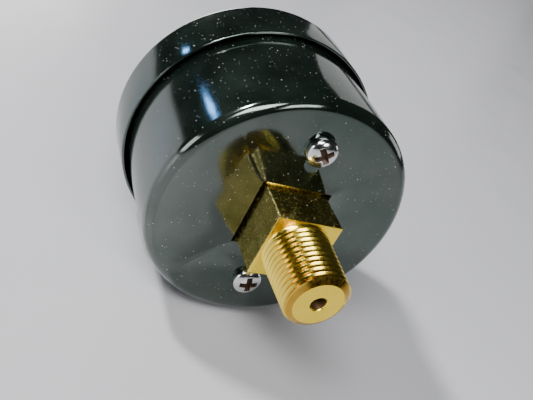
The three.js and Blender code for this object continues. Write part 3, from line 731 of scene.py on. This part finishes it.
def make_case_screw(node, turn):
    """A pan-head screw with a cross recess, turned by some angle as it was driven."""
    low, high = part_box(node)
    centre = middle(node)
    radius = (high.x - low.x) / 2
    seat, top = BACK_Y + 0.02 * MM, high.y
    side = seat + 0.65 * MM
    shank = 1.5 * MM
    crown = 0.9  # the power that makes the head a little fuller than a ball
    dome = [
        (radius * math.cos(a), side + (top - side) * math.sin(a) ** crown)
        for a in (math.radians(6 * i) for i in range(1, 15))
    ]
    bm = bmesh.new()
    lathe(bm, [
        (0, low.y), (shank, low.y), (shank, seat), (radius - 0.1 * MM, seat),
        (radius, seat + 0.12 * MM), (radius, side), *dome, (0, top),
    ], 96, centre=(centre.x, centre.z))
    screw = finish_piece(bm, "pan_" + node, [NICKEL, RECESS_SHADE_AND_RUST], 40)
    for across in (0, math.pi / 2):
        cut(screw, tool(lambda bm: recess_blade(bm, centre, top, across, turn)))
    soften(screw, 0.05 * MM, 2, 35)
    # Faces inside the recess get the dark brown painted as shade, with some rust.
    for face in screw.data.polygons:
        reach = (face.center - Vector((centre.x, face.center.y, centre.z))).length
        share = min(1.0, reach / radius)
        skin = side + (top - side) * (1 - share * share) ** (crown / 2)
        in_recess = seat < face.center.y < skin - 0.05 * MM and reach < 0.85 * radius
        face.material_index = 1 if in_recess else 0
    stands_for(screw, "case", "bright_steel", node)


def make_small_screw(node):
    """A slotted cheese-head screw on the dial."""
    low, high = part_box(node)
    centre = middle(node)
    radius = (high.x - low.x) / 2
    shank, edge = 0.6 * MM, 0.12 * MM
    slot_half, slot_depth = 0.17 * MM, 0.3 * MM
    seat = DIAL_FRONT_Y - 0.05 * MM
    bm = bmesh.new()
    lathe(bm, [
        (0, high.y), (shank, high.y), (shank, seat), (radius, seat),
        (radius, low.y + edge), (radius - edge, low.y), (0, low.y),
    ], 64, centre=(centre.x, centre.z))
    screw = finish_piece(bm, "slotted_" + node, [NICKEL])
    slot_low = (centre.x - 3 * MM, low.y - 1 * MM, centre.z - slot_half)
    slot_high = (centre.x + 3 * MM, low.y + slot_depth, centre.z + slot_half)
    cut(screw, tool(lambda bm: block(bm, slot_low, slot_high)))
    soften(screw, 0.03 * MM)
    stands_for(screw, "case", "bright_steel", node)


# ---- Dial ----

def make_dial():
    """The painted plate, with a hole for the pointer's arbor."""
    hole, edge = 1.5 * MM, 0.08 * MM
    low, high = DIAL_LOW.y, DIAL_HIGH.y
    bm = bmesh.new()
    lathe(bm, [
        (hole, high), (hole, low + edge), (hole + edge, low),
        (DIAL_RADIUS - edge, low), (DIAL_RADIUS, low + edge), (DIAL_RADIUS, high),
    ], closed=True)
    stands_for(finish_piece(bm, "dial_plate", [WHITE]), "case", "dial_white", "dial")


def dial_angle(share):
    """Where a share of the scale, from 0 to 1, is on the dial."""
    return POINTER_REST - DIAL_SWEEP * share


def make_scale():
    """Printed lines: a long one for each number, a middle one for each half and short ones between."""
    bm = bmesh.new()
    divisions = 50
    outer = 18.2 * MM
    thick = 0.015 * MM
    for i in range(divisions + 1):
        if i % 10 == 0:
            length, half = 2.6 * MM, 0.26 * MM
        elif i % 5 == 0:
            length, half = 2.0 * MM, 0.17 * MM
        else:
            length, half = 1.3 * MM, 0.09 * MM
        verts = block(bm, (outer - length, DIAL_FRONT_Y - thick, -half), (outer, DIAL_FRONT_Y, half))
        turn = Matrix.Rotation(-dial_angle(i / divisions), 3, "Y")
        bmesh.ops.rotate(bm, verts=verts, cent=(0, 0, 0), matrix=turn)
    arc_half = 0.07 * MM
    steps = 135
    for i in range(steps):
        a, b = dial_angle(i / steps), dial_angle((i + 1) / steps)
        ring = [
            bm.verts.new(on_circle(radius, angle, y))
            for y in (DIAL_FRONT_Y - thick, DIAL_FRONT_Y)
            for radius, angle in (
                (outer - arc_half, a), (outer + arc_half, a), (outer + arc_half, b), (outer - arc_half, b),
            )
        ]
        for face in BOX_FACES:
            bm.faces.new([ring[k] for k in face])
    stands_for(finish_piece(bm, "dial_scale", [BLACK_INK]), "case", "pointer_black")


def make_numbers():
    """The scale's numbers, 0 to 10, in the dial's plane."""
    reach = 13.1 * MM
    for i in range(6):
        curve = bpy.data.curves.new(f"number_{2 * i}", "FONT")
        curve.body = str(2 * i)
        curve.size = 3.6 * MM
        curve.align_x = "CENTER"
        curve.align_y = "CENTER"
        curve.extrude = 0.008 * MM
        curve.offset = 0.03 * MM
        text = bpy.data.objects.new(f"number_{2 * i}", curve)
        bpy.context.scene.collection.objects.link(text)
        where = on_circle(reach, dial_angle(i / 5), DIAL_FRONT_Y - 0.01 * MM)
        text.matrix_world = Matrix.Translation(where) @ Matrix.Rotation(math.pi / 2, 4, "X")
        bpy.context.view_layer.update()
        depsgraph = bpy.context.evaluated_depsgraph_get()
        settled = bpy.data.meshes.new_from_object(text.evaluated_get(depsgraph))
        settled.transform(text.matrix_world)
        bpy.data.objects.remove(text)
        number = bpy.data.objects.new(f"dial_number_{2 * i}", settled)
        bpy.context.scene.collection.objects.link(number)
        weld(number)
        settled.materials.clear()
        settled.materials.append(BLACK_INK)
        stands_for(number, "case", "pointer_black")


def extruded_outline(bm, points, y_low, y_high):
    """A flat outline of (x, z) points, between two planes."""
    rings = [[bm.verts.new((x, y, z)) for x, z in points] for y in (y_low, y_high)]
    bm.faces.new(rings[0])
    bm.faces.new(rings[1])
    for i in range(len(points)):
        k = (i + 1) % len(points)
        bm.faces.new((rings[0][i], rings[0][k], rings[1][k], rings[1][i]))


def make_pointer():
    """A tapered blade with a round boss and a spade-shaped balance tail."""
    reach, tail = 15.5 * MM, 5.2 * MM
    boss = 2.0 * MM
    low, high = POINTER_LOW.y, POINTER_HIGH.y
    upper = [(reach, 0.08 * MM), (reach - 2 * MM, 0.26 * MM), (boss * 0.95, 0.58 * MM)]
    boss_angles = [math.radians(each) for each in range(20, 165, 8)]
    upper += [(boss * math.cos(angle), boss * math.sin(angle)) for angle in boss_angles]
    upper += [(-boss - 0.3 * MM, 0.62 * MM), (-tail + 0.2 * MM, 0.92 * MM), (-tail, 0.7 * MM)]
    points = upper + [(x, -z) for x, z in reversed(upper)]
    bm = bmesh.new()
    extruded_outline(bm, points, low, high)
    bmesh.ops.rotate(bm, verts=bm.verts, cent=(0, 0, 0), matrix=Matrix.Rotation(-POINTER_REST, 3, "Y"))
    blade = finish_piece(bm, "pointer_blade", [POINTER_PAINT])
    hole_radius = 1.0 * MM
    hole = [(0, low - MM), (hole_radius, low - MM), (hole_radius, high + MM), (0, high + MM)]
    cut(blade, tool(lambda bm: lathe(bm, hole, 48)))
    soften(blade, 0.05 * MM)
    stands_for(blade, "pointer", "pointer_black", "pointer")


def make_hub():
    """The pointer's brass bush, riveted over in front."""
    front, rear = HUB_LOW.y, HUB_HIGH.y
    flange = (HUB_HIGH.x - HUB_LOW.x) / 2
    bore, barrel = 0.6 * MM, 0.98 * MM
    edge = 0.15 * MM
    seat = POINTER_LOW.y - 0.03 * MM
    bm = bmesh.new()
    lathe(bm, [
        (bore, rear), (barrel, rear), (barrel, seat),
        (flange, seat), (flange, front + edge), (flange - edge, front), (bore, front),
    ], 96, closed=True)
    stands_for(finish_piece(bm, "pointer_bush", [SHEET]), "pointer", "brass", "pointer_hub")


def make_stop_pin():
    """The zero stop: a pin with a collar that rests on the dial."""
    low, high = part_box("stop_pin")
    centre = middle("stop_pin")
    collar, pin = (high.x - low.x) / 2, 0.4 * MM
    seat, shoulder = DIAL_FRONT_Y - 0.03 * MM, DIAL_FRONT_Y - 0.4 * MM
    collar_edge, pin_edge = 0.1 * MM, 0.15 * MM
    bm = bmesh.new()
    lathe(bm, [
        (0, high.y), (pin, high.y), (pin, seat), (collar, seat),
        (collar, shoulder + collar_edge), (collar - collar_edge, shoulder), (pin, shoulder),
        (pin, low.y + pin_edge), (pin - pin_edge, low.y), (0, low.y),
    ], 48, centre=(centre.x, centre.z))
    stands_for(finish_piece(bm, "zero_stop", [SHEET]), "case", "brass", "stop_pin")


# ---- Bourdon tube and hairspring ----

def bend_by(piece, weight):
    """Works out how far each vertex of a blended piece would follow the second body, from its place. The
    values are not kept.
    """
    values = [weight(vertex.co) for vertex in piece.data.vertices]


def make_tube():
    """A flattened C tube, from its seat at 6 o'clock round to the tip at 3 o'clock."""
    centre_y = (TUBE_LOW.y + TUBE_HIGH.y) / 2
    half_width = (TUBE_HIGH.y - TUBE_LOW.y) / 2
    half_thick = 0.85 * MM
    middle_radius = TUBE_HIGH.x - half_thick
    steps, around = 96, 28
    start, sweep = math.radians(-90), math.radians(-270)
    bm = bmesh.new()
    rings = []
    for i in range(steps + 1):
        angle = start + sweep * i / steps
        ring = []
        for k in range(around):
            turn = 2 * math.pi * k / around  # the powers below square off the oval section
            across = half_thick * math.copysign(abs(math.cos(turn)) ** 0.7, math.cos(turn))
            along = half_width * math.copysign(abs(math.sin(turn)) ** 0.9, math.sin(turn))
            ring.append(bm.verts.new(on_circle(middle_radius + across, angle, centre_y + along)))
        rings.append(ring)
    for a, b in zip(rings, rings[1:]):
        for k in range(around):
            bm.faces.new((a[k], a[(k + 1) % around], b[(k + 1) % around], b[k]))
    bm.faces.new(rings[0])
    bm.faces.new(rings[-1])
    tube = finish_piece(bm, "curved_tube", [BRONZE], 60)
    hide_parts("bourdon_tube")
    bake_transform(tube)

    def share(point):
        turned = (start - math.atan2(point.z, point.x)) % (2 * math.pi)
        return smooth_step(turned / -sweep)

    bend_by(tube, share)


def make_hairspring():
    """A flat spiral strip from the collet on the pointer's arbor out to its stud."""
    low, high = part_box("hairspring")
    inner, outer, thick = 1.5 * MM, 5.05 * MM, 0.09 * MM
    turns, steps_per_turn = 3.5, 64
    steps = round(turns * steps_per_turn)
    bm = bmesh.new()
    rings = []
    for i in range(steps + 1):
        angle = 2 * math.pi * i / steps_per_turn
        radius = inner + (outer - inner) * i / steps
        outside = radius + thick
        section = ((radius, low.y), (outside, low.y), (outside, high.y), (radius, high.y))
        rings.append([bm.verts.new(on_circle(r, angle, y)) for r, y in section])
    for a, b in zip(rings, rings[1:]):
        for k in range(4):
            bm.faces.new((a[k], a[(k + 1) % 4], b[(k + 1) % 4], b[k]))
    bm.faces.new(rings[0])
    bm.faces.new(rings[-1])
    spring = finish_piece(bm, "spiral_spring", [SPRING])
    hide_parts("hairspring")
    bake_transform(spring)

    def share(point):
        inward = (outer - math.hypot(point.x, point.z)) / (outer - inner)
        return min(1.0, max(0.0, inward))

    bend_by(spring, share)


# ---- CAD nodes that keep their shape ----

KEPT = {
    "window_gasket": RUBBER,
    "tube_tip": DRAWN,
    "tip_pin": NICKEL,
    "tail_pin": NICKEL,
    "link": SHEET,
    "movement_rear_plate": SHEET,
    "movement_front_plate": SHEET,
    "sector_gear": SHEET,
    "sector_arbor": NICKEL,
    "pinion_arbor": NICKEL,
    "hairspring_collet": SHEET,
    "hairspring_stud": SHEET,
    "pillar_upper": SHEET,
    "pillar_lower": SHEET,
    "plate_screw_upper": NICKEL,
    "plate_screw_lower": NICKEL,
    "movement_screw_upper": NICKEL,
    "movement_screw_lower": NICKEL,
    "dial_post_left": SHEET,
    "dial_post_right": SHEET,
}


def repaint_kept_nodes():
    """Gives each CAD node that is shown as it is a better material."""
    for name, look in KEPT.items():
        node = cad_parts[name]
        node.data.materials.clear()
        node.data.materials.append(look)


# ---- Floor, lights and camera ----

def make_floor():
    """A level floor under the bezel's lowest point."""
    half = 2.0
    bm = bmesh.new()
    bmesh.ops.create_grid(bm, x_segments=2, y_segments=2, size=half)
    floor = finish_piece(bm, "floor", [table_top()])
    floor.location.z = BEZEL_LOW.z


AIM = Vector((0, -0.012, 0))


def add_light(name, place, size, power, colour=(1, 1, 1)):
    """A soft rectangular light that faces the gauge."""
    data = bpy.data.lights.new(name, "AREA")
    data.shape = "RECTANGLE"
    data.size, data.size_y = size
    data.energy = power
    data.color = colour
    light = bpy.data.objects.new(name, data)
    light.location = place
    light.rotation_mode = "QUATERNION"
    light.rotation_quaternion = (AIM - Vector(place)).to_track_quat("-Z", "Y")
    light.visible_camera = False
    bpy.context.scene.collection.objects.link(light)


def light_studio():
    """Soft lights on all sides, and one small blue one for the glint on the case."""
    add_light("overhead", (0.45, 0.42, 0.85), (0.80, 0.30), 12.5)
    add_light("key", (0.32, -0.26, 0.46), (0.06, 0.06), 4.5)
    add_light("left_bank", (0.75, 0.10, 0.12), (0.4, 0.2), 1.2)
    add_light("right_bank", (-0.75, -0.05, 0.15), (0.4, 0.2), 0.5)
    add_light("stem_fill", (-0.10, 0.42, 0.26), (0.15, 0.15), 0.7)
    add_light("dial_fill", (0.0, -0.95, 0.16), (0.3, 0.3), 3.0)
    add_light("far_bank", (-0.50, -0.66, 0.20), (0.20, 0.35), 0.16)
    add_light("window_glint", (0.39, -0.56, 0.215), (0.03, 0.04), 0.14, (0.20, 0.45, 1.0))
    world = bpy.data.worlds.new("studio")
    world.use_nodes = True
    world.node_tree.nodes["Background"].inputs["Color"].default_value = (0.70, 0.80, 0.76, 1)
    world.node_tree.nodes["Background"].inputs["Strength"].default_value = 0.03
    bpy.context.scene.world = world


def make_camera():
    """Above and behind the gauge, rolled as if the gauge lay tipped on its bezel."""
    place = Vector((53.7, 68.85, 55.6)) * MM
    target = Vector((6.4, -3.45, 5.2)) * MM
    roll = math.radians(29.55)
    data = bpy.data.cameras.new("camera")
    data.lens = 47.28
    data.sensor_width = 36
    data.shift_y = 0.0035
    data.clip_start, data.clip_end = 0.005, 20
    camera = bpy.data.objects.new("camera", data)
    camera.location = place
    camera.rotation_mode = "QUATERNION"
    level = (target - place).to_track_quat("-Z", "Y")
    camera.rotation_quaternion = level @ Quaternion((0, 0, 1), roll)
    bpy.context.scene.collection.objects.link(camera)
    bpy.context.scene.camera = camera


make_camera()
make_floor()
light_studio()
make_case()
make_bezel()
make_window()
make_stem()
make_block()
make_crossbar()
make_case_screw("case_screw_upper", math.radians(38))
make_case_screw("case_screw_lower", math.radians(12))
make_small_screw("dial_screw_left")
make_small_screw("dial_screw_right")
make_dial()
make_scale()
make_numbers()
make_pointer()
make_hub()
make_stop_pin()
make_tube()
make_hairspring()
repaint_kept_nodes()
